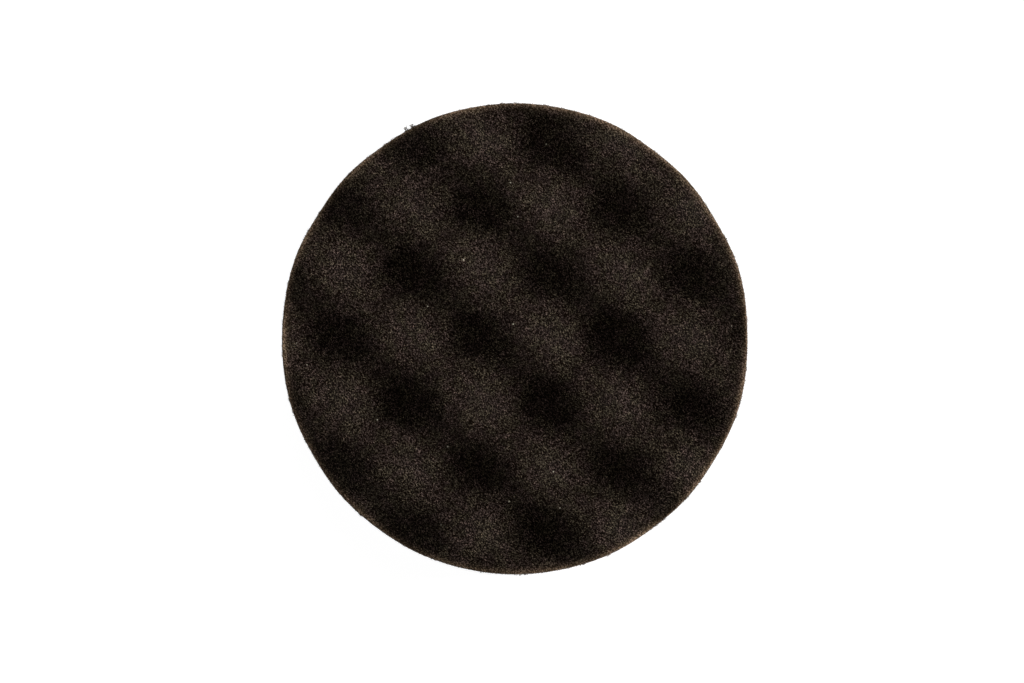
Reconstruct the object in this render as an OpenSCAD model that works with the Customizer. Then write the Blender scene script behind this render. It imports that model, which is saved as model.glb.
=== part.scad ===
// Round foam polishing pad with a waffle face, glued to a loop fabric that grips
// the hooks of a machine's backing plate.
//
// The origin is at the centre of the loop face. +Z points out of the waffle face,
// and the pad lies flat on its loops. All lengths are in millimetres.

/* [Foam disc] */
// Diameter of the foam disc
foam_d = 150; // [125:1:180]
// Foam thickness, from the glued face to the tops of the bumps
foam_h = 25; // [20:0.5:35]

/* [Waffle face] */
// Distance from a bump to the next pit, along the rows
waffle_along = 22.5; // [15:0.1:30]
// Distance from a bump to the next pit, across the rows
waffle_across = 20.7; // [15:0.1:30]
// Drop from the top of a bump to the bottom of a pit
waffle_depth = 9; // [3:0.5:12]
// Turn of the rows about the pad's axis, in degrees
waffle_turn = -0.6; // [-45:0.1:45]
// Where the bump nearest the middle stands, along the rows
bump_along = 1.5; // [-20:0.1:20]
// Where the bump nearest the middle stands, across the rows
bump_across = 0.4; // [-20:0.1:20]
// Facets from a bump to the next pit
waffle_steps = 6; // [3:1:8]

/* [Backing] */
// Diameter of the knit fabric and of the glue under the foam
backing_d = 149; // [120:1:179]
// Diameter of the brushed loops
pile_d = 148; // [119:1:178]
// Height of the brushed loops
pile_h = 1.5; // [0.8:0.1:2.5]
// Thickness of the knit fabric that carries the loops
knit_h = 0.7; // [0.4:0.1:1.2]
// Thickness of the hot-melt glue between the knit and the foam
film_h = 0.3; // [0.1:0.1:0.6]

/* [Hidden] */
$fn = 180;

// The layers lie on each other from the loops up.
knit_z = pile_h;
film_z = knit_z + knit_h;
foam_z = film_z + film_h;
foam_top = foam_z + foam_h;

// The waffle block runs past the disc on every side, in whole facets.
spare = 3;
facet_along = waffle_along / waffle_steps;
facet_across = waffle_across / waffle_steps;
block_r = foam_d / 2 + max(abs(bump_along), abs(bump_across)) + spare;
half_along = ceil(block_r / facet_along);
half_across = ceil(block_r / facet_across);
last_along = 2 * half_along;
last_across = 2 * half_across;

// Height of the waffle face, where a bump stands at 0, 0 and the pits lie one
// step along or across from it.
function waffle_z(along, across) =
    foam_top - waffle_depth / 2
    * (1 - cos(180 * along / waffle_along) * cos(180 * across / waffle_across));

// A point of the face, in column i and row j of the grid of facets.
function face_point(i, j) =
    let (along = (i - half_along) * facet_along,
         across = (j - half_across) * facet_across)
    [along, across, waffle_z(along, across)];

// The number of that point in the block's list of points.
function face_index(i, j) = i * (last_across + 1) + j;

// A block of foam with the waffle on top. Its floor lies below the disc's,
// so that only the cylinder sets the disc's flat face.
module waffle_block() {
    floor_z = foam_z - spare;
    face = [for (i = [0:last_along], j = [0:last_across]) face_point(i, j)];
    facets = [
        for (i = [0:last_along - 1], j = [0:last_across - 1])
            let (a = face_index(i, j), b = face_index(i, j + 1),
                 c = face_index(i + 1, j + 1), d = face_index(i + 1, j))
            each (i + j) % 2 == 0 ? [[a, b, c], [a, c, d]] : [[a, b, d], [b, c, d]]
    ];
    rim = concat(
        [for (i = [0:last_along - 1]) face_index(i, 0)],
        [for (j = [0:last_across - 1]) face_index(last_along, j)],
        [for (i = [last_along:-1:1]) face_index(i, last_across)],
        [for (j = [last_across:-1:1]) face_index(0, j)]
    );
    foot = [for (k = rim) [face[k][0], face[k][1], floor_z]];
    first = len(face);
    middle = first + len(foot);
    walls = [
        for (n = [0:len(rim) - 1])
            let (next = (n + 1) % len(rim))
            each [[rim[n], rim[next], first + next],
                  [rim[n], first + next, first + n],
                  [first + n, first + next, middle]]
    ];
    polyhedron(points = concat(face, foot, [[0, 0, floor_z]]), faces = concat(facets, walls));
}

// The foam: a straight-sided disc, flat where it is glued and waffled where it polishes.
module foam_disc() {
    color([0.13, 0.10, 0.08])
        intersection() {
            translate([0, 0, foam_z])
                cylinder(d = foam_d, h = foam_h + spare);
            rotate([0, 0, waffle_turn])
                translate([bump_along, bump_across, 0])
                    waffle_block();
        }
}

// The glue that was pressed hot between the knit and the foam.
module adhesive_film() {
    color([0.30, 0.27, 0.23])
        translate([0, 0, film_z])
            cylinder(d = backing_d, h = film_h);
}

// The warp-knit ground that holds the loops.
module knit_ground() {
    color([0.10, 0.10, 0.11])
        translate([0, 0, knit_z])
            cylinder(d = backing_d, h = knit_h);
}

// The layer of brushed loops, which the plate's hooks catch.
module loop_pile() {
    color([0.16, 0.16, 0.17])
        cylinder(d = pile_d, h = pile_h);
}

foam_disc();
adhesive_film();
knit_ground();
loop_pile();
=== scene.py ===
"""A round waffle foam polishing pad that lies on its loop backing, waffle face up."""

import math
import random

import bmesh
import bpy
from mathutils import Matrix, Vector, noise


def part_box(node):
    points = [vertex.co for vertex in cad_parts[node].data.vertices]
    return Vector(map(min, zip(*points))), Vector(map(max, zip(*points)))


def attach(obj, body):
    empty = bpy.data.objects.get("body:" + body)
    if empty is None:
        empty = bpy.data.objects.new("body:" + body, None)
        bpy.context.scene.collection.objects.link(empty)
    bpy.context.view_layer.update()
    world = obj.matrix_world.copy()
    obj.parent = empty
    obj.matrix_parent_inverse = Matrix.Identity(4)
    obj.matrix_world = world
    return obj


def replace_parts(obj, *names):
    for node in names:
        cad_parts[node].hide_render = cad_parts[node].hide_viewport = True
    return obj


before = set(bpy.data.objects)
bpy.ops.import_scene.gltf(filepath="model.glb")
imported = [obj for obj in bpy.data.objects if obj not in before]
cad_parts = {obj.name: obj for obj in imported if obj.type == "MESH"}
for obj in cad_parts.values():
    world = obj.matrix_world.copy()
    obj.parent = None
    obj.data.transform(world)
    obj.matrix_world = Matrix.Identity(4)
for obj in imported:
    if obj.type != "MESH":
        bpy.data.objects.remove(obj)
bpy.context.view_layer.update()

MM = 0.001

# The waffle face. A bump stands at BUMP_AT, and the pits lie one step along or
# across the rows from it.
WAFFLE_ALONG = 22.5 * MM
WAFFLE_ACROSS = 20.7 * MM
WAFFLE_DEPTH = 9 * MM
WAFFLE_TURN = math.radians(-0.6)
BUMP_AT = Vector((1.5 * MM, 0.4 * MM))

# Every layer is a disc about the Z axis, between the heights that the frame gives.
foam_low, foam_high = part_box("foam_disc")
film_low, film_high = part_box("adhesive_film")
knit_low, knit_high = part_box("knit_ground")
pile_low, pile_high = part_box("loop_pile")
FOAM_RADIUS = (foam_high.x - foam_low.x) / 2
FILM_RADIUS = (film_high.x - film_low.x) / 2
KNIT_RADIUS = (knit_high.x - knit_low.x) / 2
PILE_RADIUS = (pile_high.x - pile_low.x) / 2

SEED = 12
noise.seed_set(SEED)


# ---------------------------------------------------------------- node trees


class Finish:
    """A material, with one short call for each node that its pattern needs."""

    def __init__(self, name, **sockets):
        self.material = bpy.data.materials.new(name)
        self.material.use_nodes = True
        self.tree = self.material.node_tree
        self.shader = self.tree.nodes["Principled BSDF"]
        self.place = self.node("ShaderNodeTexCoord").outputs["Object"]
        self.set(self.shader, sockets)

    def node(self, kind, inputs=None, **settings):
        made = self.tree.nodes.new(kind)
        for key, value in settings.items():
            setattr(made, key, value)
        self.set(made, inputs or {})
        return made

    def set(self, node, inputs):
        for key, value in inputs.items():
            socket = node.inputs[key.replace("_", " ") if isinstance(key, str) else key]
            if isinstance(value, bpy.types.NodeSocket):
                self.tree.links.new(value, socket)
            else:
                socket.default_value = value

    def noise(self, size, detail=2.0, roughness=0.5, vector=None):
        """Smooth random values from 0 to 1, whose blotches are about size across."""
        inputs = {"Vector": vector or self.place, "Scale": 1 / size}
        inputs.update(Detail=detail, Roughness=roughness)
        return self.node("ShaderNodeTexNoise", inputs).outputs["Fac"]

    def cells(self, size):
        """Random cells about size across: how far the middle of one is, and its own colour."""
        inputs = {"Vector": self.place, "Scale": 1 / size}
        return self.node("ShaderNodeTexVoronoi", inputs).outputs

    def ramp(self, value, low, high, to_low=0.0, to_high=1.0):
        """Maps low..high to to_low..to_high, with soft ends."""
        inputs = {"Value": value, 1: low, 2: high, 3: to_low, 4: to_high}
        made = self.node("ShaderNodeMapRange", inputs, interpolation_type="SMOOTHSTEP")
        return made.outputs["Result"]

    def math(self, operation, a, b=0.0):
        """A sum or other operation on two values, or on one."""
        made = self.node("ShaderNodeMath", {0: a, 1: b}, operation=operation)
        return made.outputs["Value"]

    def mix(self, amount, a, b, blend="MIX"):
        """Colour a, with colour b over it in that amount."""
        made = self.node("ShaderNodeMix", data_type="RGBA", blend_type=blend)
        self.set(made, {0: amount, 6: a, 7: b})
        return made.outputs[2]

    def bump(self, height, depth, strength=1.0):
        """Raises the surface by depth where height is 1."""
        inputs = {"Height": height, "Distance": depth, "Strength": strength}
        self.set(self.shader, {"Normal": self.node("ShaderNodeBump", inputs).outputs["Normal"]})

    def colour(self, value):
        self.set(self.shader, {"Base_Color": value})


def rgb(red, green, blue):
    return (red, green, blue, 1.0)


# The pore colour is near black: the foam's own dark brown, with painted shade of the open cells in
# it.
PORE_SHADE_BROWN = rgb(0.0032, 0.0014, 0.0004)
STRUT_ROSE = rgb(0.0358, 0.0247, 0.0206)
STRUT_OLIVE = rgb(0.0331, 0.0262, 0.0179)
PAINTED_GLOW_TAN = rgb(0.335, 0.226, 0.142)
LINT_CREAM = rgb(0.50, 0.46, 0.36)

# The cells are drawn out across the foam, DRAW_OUT times their size along DRAW_TURN.
DRAW_TURN = math.radians(-45)
DRAW_OUT = (1.45, 0.92, 1)
STRUT_GRAIN = 0.42 * MM
GLINT_GRAIN = 0.28 * MM
CLUMP_GRAIN = 4 * MM
PATCH_GRAIN = 4.2 * MM

# Painted light: the cut edge is coloured a paler tan, as light coming through the foam would make
# it, and this fades over GLOW_DEPTH.
GLOW_DEPTH = 0.63 * MM
LINT_SPACING = 6.5 * MM
LINT_SHARE = 0.040


def black_foam():
    """Fine open cells: brown-black pores, partly painted shade, between paler struts with painted
    glints, and painted light at the cut edge.
    """
    f = Finish("black_foam", Roughness=0.6, Specular_IOR_Level=0.02)
    turn = {"Vector": f.place, "Rotation": (0, 0, DRAW_TURN), "Scale": DRAW_OUT}
    drawn = f.node("ShaderNodeMapping", turn, vector_type="TEXTURE").outputs["Vector"]
    struts = f.ramp(f.noise(STRUT_GRAIN, 2.0, 0.6, vector=drawn), 0.48, 0.565)
    # Painted highlight: sparse specks on the struts, made up to six and a half times brighter,
    # stand in for their glints.
    painted_glints = f.ramp(f.noise(GLINT_GRAIN, 2.0, 0.6, vector=drawn), 0.54, 0.66, 1.0, 6.5)
    clumps = f.ramp(f.noise(CLUMP_GRAIN, 3.0, 0.6), 0.30, 0.70, 0.72, 1.28)
    patches = f.ramp(f.noise(PATCH_GRAIN, 1.0), 0.36, 0.64)
    face = f.mix(patches, STRUT_ROSE, STRUT_OLIVE)
    face = f.mix(1.0, face, clumps, "MULTIPLY")
    face = f.mix(1.0, face, painted_glints, "MULTIPLY")
    # Partly painted shade: the pores between the struts get a near-black colour, as shade in the
    # open cells would make them.
    foam = f.mix(struts, PORE_SHADE_BROWN, face)

    # How far inside the cut edge a point is, along its radius and below the face.
    uncut = {0: f.place, 1: (1 / FOAM_CUT.x, 1 / FOAM_CUT.y, 0)}
    flat_place = f.node("ShaderNodeVectorMath", uncut, operation="MULTIPLY")
    inputs = {0: flat_place.outputs["Vector"]}
    reach = f.node("ShaderNodeVectorMath", inputs, operation="LENGTH").outputs["Value"]
    depth = f.node("ShaderNodeAttribute", attribute_name="depth").outputs["Fac"]
    inward = f.math("SUBTRACT", f.math("ADD", depth, FOAM_RADIUS), reach)
    inward = f.math("MAXIMUM", inward, 0.0)
    # Painted light: tan added to the foam's colour at the cut edge, fading inward.
    painted_glow = f.math("EXPONENT", f.math("DIVIDE", inward, -GLOW_DEPTH))
    painted_glow = f.math("MULTIPLY", painted_glow, f.ramp(struts, 0.0, 1.0, 0.40, 1.50))
    foam = f.mix(painted_glow, foam, PAINTED_GLOW_TAN, "ADD")

    # A speck of lint in the middle of fewer than half of some wide cells.
    fleck = f.cells(LINT_SPACING)
    near = f.math("LESS_THAN", fleck["Distance"], LINT_SHARE)
    picked = f.math("GREATER_THAN", fleck["Color"], 0.55)
    lint = f.math("MULTIPLY", near, picked)
    f.colour(f.mix(lint, foam, LINT_CREAM))
    f.bump(struts, 0.25 * MM)
    return f.material


def loop_nylon():
    """Black crimped nylon filament with a soft shine."""
    f = Finish(
        "loop_nylon",
        Roughness=0.55,
        Specular_IOR_Level=0.45,
        Sheen_Weight=0.2,
        Sheen_Roughness=0.4,
    )
    tone = f.ramp(f.noise(2.5 * MM, 2.0), 0.3, 0.7)
    streak = f.ramp(f.noise(0.35 * MM, 1.0), 0.3, 0.7)
    base = f.mix(tone, rgb(0.012, 0.012, 0.014), rgb(0.030, 0.030, 0.033))
    f.colour(f.mix(streak, base, rgb(0.050, 0.050, 0.054)))
    f.bump(streak, 0.05 * MM, 0.5)
    return f.material


def knit_nylon():
    """The knit ground: ribs of stitches along Y, with a dark gap between them."""
    f = Finish("knit_nylon", Roughness=0.8, Specular_IOR_Level=0.3, Sheen_Weight=0.15)
    wave = {"Vector": f.place, "Distortion": 0.4, "Detail": 1.0}
    across = {**wave, "Scale": 1 / (WALE * RIB_SPREAD)}
    along = {**wave, "Scale": 1 / (COURSE * RIB_SPREAD)}
    ribs = f.node("ShaderNodeTexWave", across, bands_direction="X").outputs["Fac"]
    stitches = f.node("ShaderNodeTexWave", along, bands_direction="Y").outputs["Fac"]
    yarn = f.math("MULTIPLY", f.ramp(ribs, 0.1, 0.9), f.ramp(stitches, 0.0, 0.8, 0.4, 1.0))
    fuzz = f.noise(0.3 * MM, 2.0)
    base = f.mix(yarn, rgb(0.004, 0.004, 0.005), rgb(0.030, 0.030, 0.032))
    f.colour(f.mix(f.ramp(fuzz, 0.4, 0.8, 0.0, 0.5), base, rgb(0.05, 0.05, 0.052)))
    f.bump(yarn, 0.15 * MM, 0.8)
    return f.material


def hot_melt_glue():
    """Smoky hot-melt film, clouded where it wetted the foam."""
    f = Finish("hot_melt_glue", Roughness=0.38, Specular_IOR_Level=0.5)
    cloud = f.ramp(f.noise(1.6 * MM, 3.0), 0.35, 0.65)
    specks = f.ramp(f.cells(0.5 * MM)["Distance"], 0.1, 0.4)
    base = f.mix(cloud, rgb(0.055, 0.045, 0.034), rgb(0.110, 0.094, 0.072))
    f.colour(f.mix(specks, rgb(0.03, 0.024, 0.018), base))
    f.set(f.shader, {"Roughness": f.ramp(cloud, 0.0, 1.0, 0.32, 0.55)})
    f.bump(cloud, 0.08 * MM, 0.6)
    return f.material


# -------------------------------------------------------------------- shapes


def piece(bm, name, material, slot, *nodes):
    """A finished piece of the pad, in place of the CAD nodes it stands for."""
    mesh = bpy.data.meshes.new(name)
    bm.to_mesh(mesh)
    bm.free()
    mesh.materials.append(material)
    mesh.shade_smooth()
    made = bpy.data.objects.new(name, mesh)
    bpy.context.scene.collection.objects.link(made)
    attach(made, "root")
    if nodes:
        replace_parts(made, *nodes)
    return made


def round_grid(cells, radius):
    """A flat grid of quads, drawn in from a square to a disc of that radius."""
    bm = bmesh.new()
    bmesh.ops.create_grid(bm, x_segments=cells, y_segments=cells, size=1)
    for vert in bm.verts:
        x, y, _ = vert.co
        vert.co.x = radius * x * math.sqrt(1 - y * y / 2)
        vert.co.y = radius * y * math.sqrt(1 - x * x / 2)
    return bm


def pull_ring(bm, ring, place):
    """Extrudes the open edge once, its new points at place(point), and gives the new edge."""
    made = bmesh.ops.extrude_edge_only(bm, edges=ring)["geom"]
    for vert in (g for g in made if isinstance(g, bmesh.types.BMVert)):
        vert.co = place(vert.co)
    return [g for g in made if isinstance(g, bmesh.types.BMEdge) and g.is_boundary]


def close_ring(bm, ring, middle):
    """Closes the open edge with a fan of faces to the middle."""
    made = bmesh.ops.extrude_edge_only(bm, edges=ring)["geom"]
    verts = [g for g in made if isinstance(g, bmesh.types.BMVert)]
    bmesh.ops.pointmerge(bm, verts=verts, merge_co=middle)
    bmesh.ops.recalc_face_normals(bm, faces=bm.faces)


def open_edge(bm):
    return [edge for edge in bm.edges if edge.is_boundary]


def on_circle(point, radius, height):
    """The point's own direction from the axis, at another radius and height."""
    angle = math.atan2(point.y, point.x)
    return Vector((radius * math.cos(angle), radius * math.sin(angle), height))


# ---------------------------------------------------------------------- foam

# Grid cells across the face, rings round the softened edge, and rings down the wall.
FOAM_CELLS = 248
ROUND_STEPS = 3
WALL_ROWS = 34
EDGE_ROUND = 0.7 * MM

# The saw cut the disc a little oval.
FOAM_CUT = Vector((0.995, 1.005, 1.0))

# No two bumps are quite alike: the face wanders by part of UNEVEN over UNEVEN_SIZE.
UNEVEN = 1.0 * MM
UNEVEN_SIZE = 20 * MM

# The sizes of torn cells, clumps of cells and the saw's wander, and how far each moves
# the skin.
ROUGHNESS = ((0.55 * MM, 0.075 * MM), (2.2 * MM, 0.07 * MM), (17 * MM, 0.10 * MM))
GLUED_RIM = 0.1 * MM


def waffle(x, y):
    """Height of the waffle face over a point."""
    local = Vector((x, y))
    local.rotate(Matrix.Rotation(-WAFFLE_TURN, 2))
    local -= BUMP_AT
    wave = math.cos(math.pi * local.x / WAFFLE_ALONG) * math.cos(math.pi * local.y / WAFFLE_ACROSS)
    uneven = noise.noise(Vector((x, y, SEED * MM)) / UNEVEN_SIZE) * UNEVEN
    return foam_high.z - WAFFLE_DEPTH / 2 * (1 - wave) + uneven


def waffle_normal(x, y, step=0.2 * MM):
    """Direction that the waffle face looks in over a point."""
    rise_x = (waffle(x + step, y) - waffle(x - step, y)) / (2 * step)
    rise_y = (waffle(x, y + step) - waffle(x, y - step)) / (2 * step)
    return Vector((-rise_x, -rise_y, 1)).normalized()


def mark_depth(bm):
    """Notes how far each point lies below the waffle face, for the painted glow of the cut edge."""
    layer = bm.verts.layers.float.new("depth")
    for vert in bm.verts:
        vert[layer] = max(0.0, waffle(vert.co.x, vert.co.y) - vert.co.z)


def foam_roughness(point):
    """How far the torn cells and the saw's wander move a point of the foam's skin."""
    return sum((noise.noise_vector(point / size) * move for size, move in ROUGHNESS), Vector())


def make_foam(material):
    """The foam disc: waffle face, softened edge, straight sawn wall and flat glued face."""
    shoulder = FOAM_RADIUS - EDGE_ROUND
    bm = round_grid(FOAM_CELLS, shoulder)
    for vert in bm.verts:
        vert.co.z = waffle(vert.co.x, vert.co.y)
    ring = open_edge(bm)
    for step in range(1, ROUND_STEPS + 1):
        turn = math.pi / 2 * step / ROUND_STEPS
        radius = shoulder + EDGE_ROUND * math.sin(turn)
        drop = EDGE_ROUND * (1 - math.cos(turn))

        def rounded(point):
            height = waffle(*on_circle(point, radius, 0).xy) - drop
            return on_circle(point, radius, height)

        ring = pull_ring(bm, ring, rounded)
    for row in range(WALL_ROWS):
        left = (WALL_ROWS - row - 1) / (WALL_ROWS - row)

        def lower(point):
            return on_circle(point, FOAM_RADIUS, foam_low.z + (point.z - foam_low.z) * left)

        ring = pull_ring(bm, ring, lower)
    for vert in bm.verts:
        if vert.co.z > foam_low.z + GLUED_RIM:
            vert.co += foam_roughness(vert.co)
    close_ring(bm, ring, Vector((0, 0, foam_low.z)))
    mark_depth(bm)
    bmesh.ops.scale(bm, verts=bm.verts, vec=FOAM_CUT)
    foam = piece(bm, "foam_disc_skin", material, "foam", "foam_disc")


# -------------------------------------------------------------- small copies


def stamp(bm, shape, place):
    """Adds a copy of a small mesh to bm at a place."""
    shape.transform(place)
    bm.from_mesh(shape)
    shape.transform(place.inverted())


def aimed(point, direction, spin, size):
    """The matrix that stands a small shape at point, its Z along direction."""
    turn = direction.to_track_quat("Z", "Y").to_matrix().to_4x4()
    return (
        Matrix.Translation(point)
        @ turn
        @ Matrix.Rotation(spin, 4, "Z")
        @ Matrix.Diagonal((*size, 1))
    )


STRUTS_ON_FACE = 26000
STRUTS_ON_WALL = 12000
STRUTS_ON_EDGE = 8000
STRUT_THICK = (0.035 * MM, 0.055 * MM)
STRUT_LEAN = 0.55

# A strut is spun about its own length by up to almost a full turn, in radians.
STRUT_SPIN = 6.28
WALL_MARGIN = 0.3 * MM

# Small tufts of torn cells stand all round the edge, and a larger torn pair at one place.
TUFTS = 90
TUFT_STRUTS = 16
TUFT_WIDE = 0.45 * MM
TUFT_STOUT = 2.2
TORN_AT = math.radians(117)
TORN_STRUTS = 80
TORN_WIDE = 0.4 * MM


def make_struts(material):
    """The torn ends of the foam's cell struts, which stand up from its face, edge and wall."""
    rng = random.Random(SEED)
    seed_bm = bmesh.new()
    bmesh.ops.create_cone(seed_bm, cap_ends=True, segments=3, radius1=1, radius2=0, depth=1)
    bmesh.ops.translate(seed_bm, verts=seed_bm.verts, vec=(0, 0, 0.25))
    spike = bpy.data.meshes.new("spike")
    seed_bm.to_mesh(spike)
    seed_bm.free()

    bm = bmesh.new()

    def stand(point, normal, longest, stout=1.0):
        """One strut end at point, leaning off the normal at random."""
        lean = Vector((rng.gauss(0, 1), rng.gauss(0, 1), rng.gauss(0, 1))) * STRUT_LEAN
        length = (0.22 + 0.78 * rng.random() ** 2) * longest
        thick = rng.uniform(*STRUT_THICK) * stout
        spin = rng.random() * STRUT_SPIN
        stamp(bm, spike, aimed(point, (normal + lean).normalized(), spin, (thick, thick, length)))

    for _ in range(STRUTS_ON_FACE):
        radius = (FOAM_RADIUS - EDGE_ROUND) * math.sqrt(rng.random())
        angle = rng.uniform(-math.pi, math.pi)
        x, y = radius * math.cos(angle), radius * math.sin(angle)
        stand(Vector((x, y, waffle(x, y))), waffle_normal(x, y), 0.55 * MM)
    for _ in range(STRUTS_ON_WALL):
        angle = rng.uniform(-math.pi, math.pi)
        out = Vector((math.cos(angle), math.sin(angle), 0))
        top = waffle(*(out * FOAM_RADIUS).xy)
        point = out * FOAM_RADIUS
        point.z = rng.uniform(foam_low.z + WALL_MARGIN, top - WALL_MARGIN)
        stand(point, out, 0.6 * MM)
    for _ in range(STRUTS_ON_EDGE):
        angle = rng.uniform(-math.pi, math.pi)
        turn = rng.uniform(0.1, math.pi / 2)
        out = Vector((math.cos(angle), math.sin(angle), 0))
        point = out * (FOAM_RADIUS - EDGE_ROUND * (1 - math.sin(turn)))
        point.z = waffle(point.x, point.y) - EDGE_ROUND * (1 - math.cos(turn))
        stand(point, out * math.sin(turn) + Vector((0, 0, math.cos(turn))), 0.9 * MM)

    def tear(angle, struts, wide, far):
        """A tuft of torn cells at the edge: struts that start from one another, further out."""
        for _ in range(struts):
            turn = angle + rng.gauss(0, wide) / FOAM_RADIUS
            out = Vector((math.cos(turn), math.sin(turn), 0))
            point = out * (FOAM_RADIUS - 0.2 * MM + far * rng.random() ** 1.5)
            point.z = waffle(point.x, point.y) - rng.uniform(0.2, 1.4) * MM
            stand(point, out, 0.8 * MM, TUFT_STOUT)

    for _ in range(TUFTS):
        tear(rng.uniform(-math.pi, math.pi), TUFT_STRUTS, TUFT_WIDE, rng.uniform(0.2, 0.6) * MM)
    tear(TORN_AT + 1.0 * MM / FOAM_RADIUS, TORN_STRUTS, TORN_WIDE, 1.5 * MM)
    tear(TORN_AT - 1.1 * MM / FOAM_RADIUS, TORN_STRUTS, TORN_WIDE, 1.2 * MM)
    bpy.data.meshes.remove(spike)
    mark_depth(bm)
    bmesh.ops.scale(bm, verts=bm.verts, vec=FOAM_CUT)
    piece(bm, "foam_struts", material, "foam")


# ------------------------------------------------------------------- backing

# The loops stand in rows a WALE apart, and a COURSE apart along a row. A wave texture
# has 20 / 2 pi bands to its unit, so RIB_SPREAD draws the knit's ribs 1.97 WALE apart
# and its stitches 1.97 COURSE apart.
WALE = 1.40 * MM
COURSE = 1.03 * MM
RIB_SPREAD = 6.283
KNIT_CELLS = 140
FRAY = 0.25 * MM

FILM_CELLS = 60
BEAD = 0.3 * MM

# The rings of a layer's edge: share of its height, and share of BEAD or FRAY it stands out.
BEAD_RINGS = ((0.8, 0.75), (0.5, 1.0), (0.2, 0.75), (0.0, 0.0))
FRAY_RINGS = ((0.85, 0.7), (0.6, 1.0), (0.3, 0.9), (0.1, 0.5))

LOOP_WIDTH = 1.0 * MM
LOOP_LEAN = 0.30
LOOP_STRAY = 0.12 * MM
YARN = 0.10 * MM
EDGE_ROWS = 3
EDGE_STEP = 0.5 * MM


def make_film(material):
    """The glue film, whose edge squeezed out a little unevenly."""
    bm = round_grid(FILM_CELLS, FILM_RADIUS - BEAD)
    for vert in bm.verts:
        vert.co.z = film_high.z
    ring = open_edge(bm)
    thick = film_high.z - film_low.z
    for height, reach in BEAD_RINGS:

        def bead(point):
            made = on_circle(point, FILM_RADIUS, film_low.z + height * thick)
            uneven = 1 + 0.6 * noise.noise(made / (4 * MM))
            return on_circle(made, FILM_RADIUS - BEAD + BEAD * reach * uneven, made.z)

        ring = pull_ring(bm, ring, bead)
    close_ring(bm, ring, Vector((0, 0, film_low.z)))
    piece(bm, "adhesive_film_bead", material, "adhesive", "adhesive_film")


def make_knit(material):
    """The knit disc, with a cut edge that wanders with its stitches."""
    bm = round_grid(KNIT_CELLS, KNIT_RADIUS - FRAY)
    for vert in bm.verts:
        vert.co.z = knit_high.z
    ring = open_edge(bm)
    thick = knit_high.z - knit_low.z
    for height, reach in FRAY_RINGS:

        def cut(point):
            made = on_circle(point, KNIT_RADIUS, knit_low.z + height * thick)
            fray = 1 + 0.9 * noise.noise(made / (0.9 * MM))
            return on_circle(made, KNIT_RADIUS - FRAY + FRAY * reach * fray, made.z)

        ring = pull_ring(bm, ring, cut)
    bottom = round_grid(KNIT_CELLS, KNIT_RADIUS - FRAY)
    under = bpy.data.meshes.new("under")
    for vert in bottom.verts:
        vert.co.z = knit_low.z + 0.05 * MM * (1 + noise.noise(vert.co / (1.5 * MM)))
    bottom.to_mesh(under)
    bottom.free()
    bm.from_mesh(under)
    bpy.data.meshes.remove(under)
    bmesh.ops.bridge_loops(bm, edges=open_edge(bm))
    bmesh.ops.recalc_face_normals(bm, faces=bm.faces)
    knit = piece(bm, "knit_cloth", material, "knit", "knit_ground")


def loop_shape():
    """One loop of yarn, both feet on the knit and its crown down, about 1 wide and half as tall."""
    bm = bmesh.new()
    thick = YARN / LOOP_WIDTH
    bmesh.ops.create_circle(bm, segments=3, radius=thick)
    bmesh.ops.translate(bm, verts=bm.verts, vec=(0.5 - thick, 0, 0))
    bmesh.ops.spin(
        bm,
        geom=bm.verts[:] + bm.edges[:],
        cent=(0, 0, 0),
        axis=(0, 1, 0),
        angle=math.pi,
        steps=5,
    )
    bmesh.ops.holes_fill(bm, edges=open_edge(bm))
    bmesh.ops.recalc_face_normals(bm, faces=bm.faces)
    mesh = bpy.data.meshes.new("loop")
    bm.to_mesh(mesh)
    bm.free()
    return mesh


def make_pile(material):
    """Rows of brushed loops under the knit, and closer ones where the cut edge frays."""
    rng = random.Random(SEED + 1)
    loop = loop_shape()
    lowest = min(v.co.z for v in loop.vertices)
    tall = pile_high.z - pile_low.z

    def hang(bm, foot, spin):
        """One loop that hangs from its foot, turned by spin, and leans a little."""
        height = tall * rng.uniform(0.72, 0.98)
        size = (LOOP_WIDTH, LOOP_WIDTH, height / -lowest)
        lean = Vector((rng.gauss(0, LOOP_LEAN), rng.gauss(0, LOOP_LEAN), 1)).normalized()
        stamp(bm, loop, aimed(foot, lean, spin, size))

    parts = {"loop_pile_left": bmesh.new(), "loop_pile_right": bmesh.new()}
    rows = int(PILE_RADIUS / WALE)
    for wale in range(-rows, rows + 1):
        half = math.sqrt(max(PILE_RADIUS**2 - (wale * WALE) ** 2, 0))
        stitches = int(half / COURSE)
        for course in range(-stitches, stitches + 1):
            x = wale * WALE + rng.gauss(0, LOOP_STRAY)
            y = (course + 0.5 * (wale % 2)) * COURSE + rng.gauss(0, LOOP_STRAY)
            if math.hypot(x, y) < PILE_RADIUS - EDGE_ROWS * EDGE_STEP:
                side = parts["loop_pile_left" if x < 0 else "loop_pile_right"]
                hang(side, Vector((x, y, pile_high.z)), rng.uniform(-0.9, 0.9))
    parts["loop_pile_edge"] = bmesh.new()
    for row in range(EDGE_ROWS):
        radius = PILE_RADIUS - (row + 0.5) * EDGE_STEP
        count = int(2 * math.pi * radius / EDGE_STEP)
        for step in range(count):
            angle = 2 * math.pi * (step + 0.5 * row + rng.uniform(-0.3, 0.3)) / count
            out = Vector((math.cos(angle), math.sin(angle), 0))
            foot = out * (radius + rng.uniform(-0.15, 0.15) * MM) + Vector((0, 0, pile_high.z))
            hang(parts["loop_pile_edge"], foot, angle + math.pi / 2 + rng.gauss(0, 0.5))
    bpy.data.meshes.remove(loop)
    for name, bm in parts.items():
        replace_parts(piece(bm, name, material, "pile"), "loop_pile")


# --------------------------------------------------------------------- stage

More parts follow.
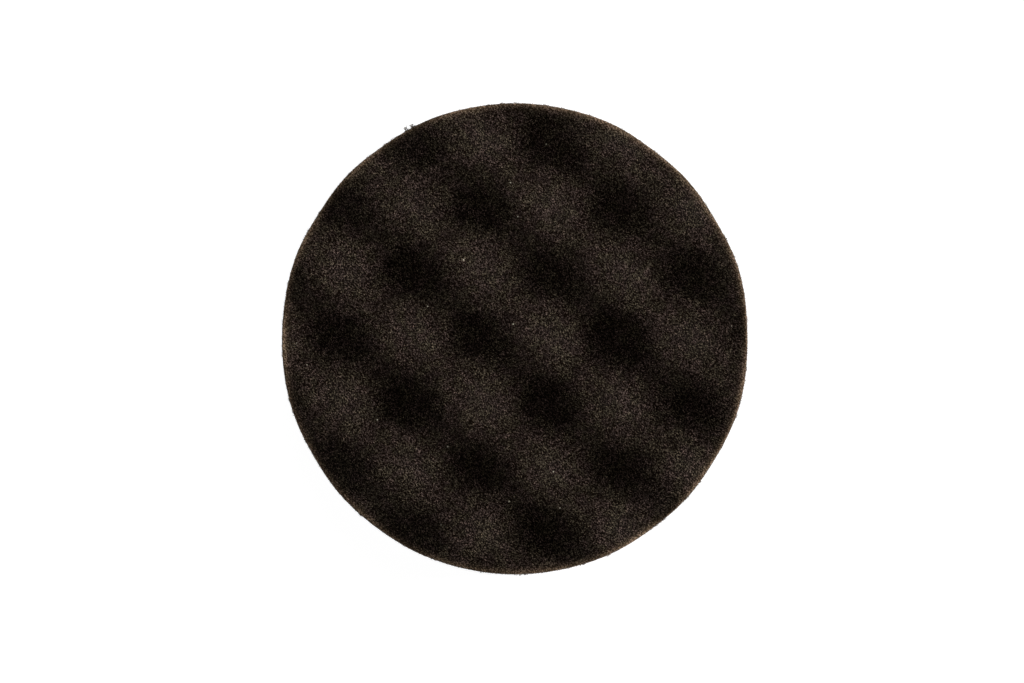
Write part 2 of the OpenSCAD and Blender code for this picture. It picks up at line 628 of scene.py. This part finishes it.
FLOOR_SIZE = 40.0
FLOOR_GREY = rgb(0.30, 0.30, 0.30)
FLOOR_GLOW = 0.97
FLOOR_GAP = 0.02 * MM

KEY_TURN = math.radians(13)
KEY_RISE = math.radians(22)
KEY_SOFT = math.radians(18)
KEY_STRENGTH = 4.0

FILL_TURN = math.radians(90)
FILL_RISE = math.radians(50)
FILL_AWAY = 0.30
FILL_SIZE = 0.25
FILL_POWER = 0.19

# The studio is bright where the Z of the way to it is below SURROUND_LOW, and dim where
# it is above SURROUND_HIGH.
SURROUND_LOW = 0.08
SURROUND_HIGH = 0.20
SURROUND_BRIGHT = 1.05
SURROUND_DIM = 0.10


def make_floor():
    """A grey table that glows white, so that the pad casts almost no shadow on it."""
    f = Finish("white_table", Roughness=1.0, Specular_IOR_Level=0.0)
    f.colour(FLOOR_GREY)
    f.set(f.shader, {"Emission_Color": rgb(1, 1, 1), "Emission_Strength": FLOOR_GLOW})
    bm = bmesh.new()
    bmesh.ops.create_grid(bm, x_segments=1, y_segments=1, size=FLOOR_SIZE / 2)
    bmesh.ops.translate(bm, verts=bm.verts, vec=(0, 0, pile_low.z - FLOOR_GAP))
    mesh = bpy.data.meshes.new("white_table")
    bm.to_mesh(mesh)
    bm.free()
    mesh.materials.append(f.material)
    floor = bpy.data.objects.new("white_table", mesh)
    bpy.context.scene.collection.objects.link(floor)


def hang_light(data, turn, rise, away):
    """Hangs a lamp round the pad by turn and up by rise, and points it at the pad."""
    lamp = bpy.data.objects.new(data.name, data)
    toward = Vector(
        (math.cos(rise) * math.cos(turn), math.cos(rise) * math.sin(turn), math.sin(rise))
    )
    lamp.location = toward * away
    lamp.rotation_mode = "QUATERNION"
    lamp.rotation_quaternion = toward.to_track_quat("Z", "Y")
    lamp.visible_camera = False
    bpy.context.scene.collection.objects.link(lamp)


def make_lights():
    """A soft key from the right, a near fill behind, and a white studio with a dim ceiling."""
    key = bpy.data.lights.new("key", "SUN")
    key.energy = KEY_STRENGTH
    key.angle = KEY_SOFT
    hang_light(key, KEY_TURN, KEY_RISE, 1.0)
    fill = bpy.data.lights.new("fill", "AREA")
    fill.shape = "DISK"
    fill.size = FILL_SIZE
    fill.energy = FILL_POWER
    hang_light(fill, FILL_TURN, FILL_RISE, FILL_AWAY)

    world = bpy.data.worlds.new("studio")
    world.use_nodes = True
    bpy.context.scene.world = world
    nodes, links = world.node_tree.nodes, world.node_tree.links
    place = nodes.new("ShaderNodeTexCoord")
    split = nodes.new("ShaderNodeSeparateXYZ")
    rise = nodes.new("ShaderNodeMapRange")
    rise.interpolation_type = "SMOOTHSTEP"
    rise.inputs["From Min"].default_value = SURROUND_LOW
    rise.inputs["From Max"].default_value = SURROUND_HIGH
    rise.inputs["To Min"].default_value = SURROUND_BRIGHT
    rise.inputs["To Max"].default_value = SURROUND_DIM
    links.new(place.outputs["Generated"], split.inputs[0])
    links.new(split.outputs["Z"], rise.inputs["Value"])
    links.new(rise.outputs["Result"], nodes["Background"].inputs["Strength"])
    nodes["Background"].inputs["Color"].default_value = rgb(1, 1, 1)


# The camera looks at AIM from CAMERA_AWAY, and CAMERA_BACK points from the pad to it.
CAMERA_AWAY = 1.2
CAMERA_BACK = Vector((-0.0047, -0.0169, 1)).normalized()
LENS = 131.9
AIM = Vector((-1.0 * MM, -0.95 * MM, 0))


def make_camera():
    """Almost straight above the pad, with +Y up."""
    data = bpy.data.cameras.new("camera")
    data.lens = LENS
    camera = bpy.data.objects.new("camera", data)
    bpy.context.scene.collection.objects.link(camera)
    target = AIM + Vector((0, 0, foam_high.z - WAFFLE_DEPTH / 2))
    right = Vector((0, 1, 0)).cross(CAMERA_BACK).normalized()
    up = CAMERA_BACK.cross(right)
    turn = Matrix((right, up, CAMERA_BACK)).transposed().to_4x4()
    camera.matrix_world = Matrix.Translation(target + CAMERA_BACK * CAMERA_AWAY) @ turn
    bpy.context.scene.camera = camera


# ---------------------------------------------------------------------- make

make_camera()
make_lights()
make_floor()
bpy.context.scene.view_settings.view_transform = "Standard"

foam_finish = black_foam()
make_foam(foam_finish)
make_struts(foam_finish)
make_film(hot_melt_glue())
make_knit(knit_nylon())
make_pile(loop_nylon())
